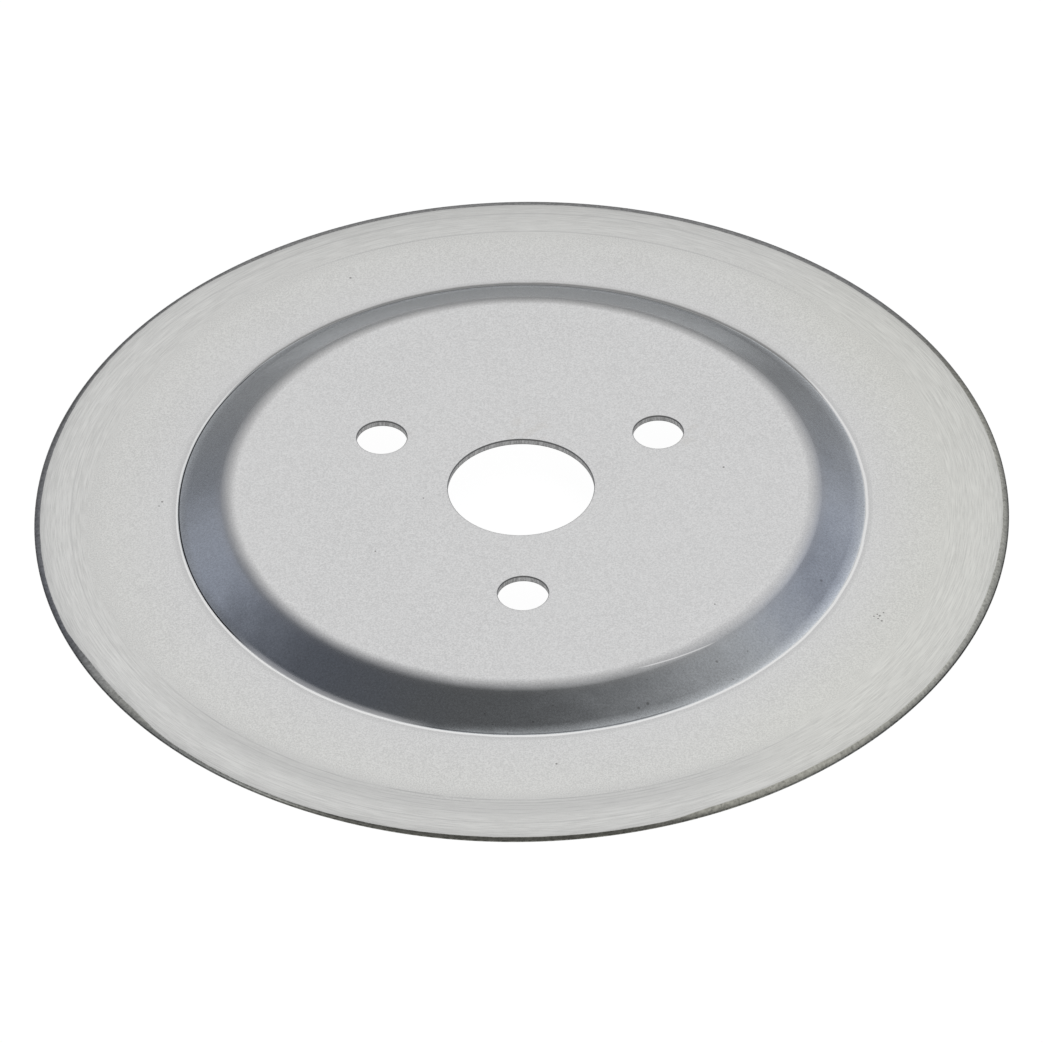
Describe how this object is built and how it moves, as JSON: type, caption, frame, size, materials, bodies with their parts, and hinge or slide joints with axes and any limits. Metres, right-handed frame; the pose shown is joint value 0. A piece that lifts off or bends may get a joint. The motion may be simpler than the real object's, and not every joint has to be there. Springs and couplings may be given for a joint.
{
  "type": "food slicer blade",
  "caption": "Round stainless slicer blade: a shallow dished ring with a ground cutting edge, a raised flat centre, a centre bore and a circle of fixing holes.",
  "frame": {"origin": "on the axis of the bore, in the plane of the cutting edge and of the back's rim, on which the blade rests", "axes": "+Z along the bore towards the side on which the centre is raised, -Y through one of the fixing holes"},
  "size_m": [0.17, 0.17, 0.0055],
  "materials": {
    "blade_steel": "matt satin stainless steel, with fine grinding lines round the rim"
  },
  "bodies": {
    "root": {"slicer_blade": "blade_steel"}
  },
  "joints": []
}
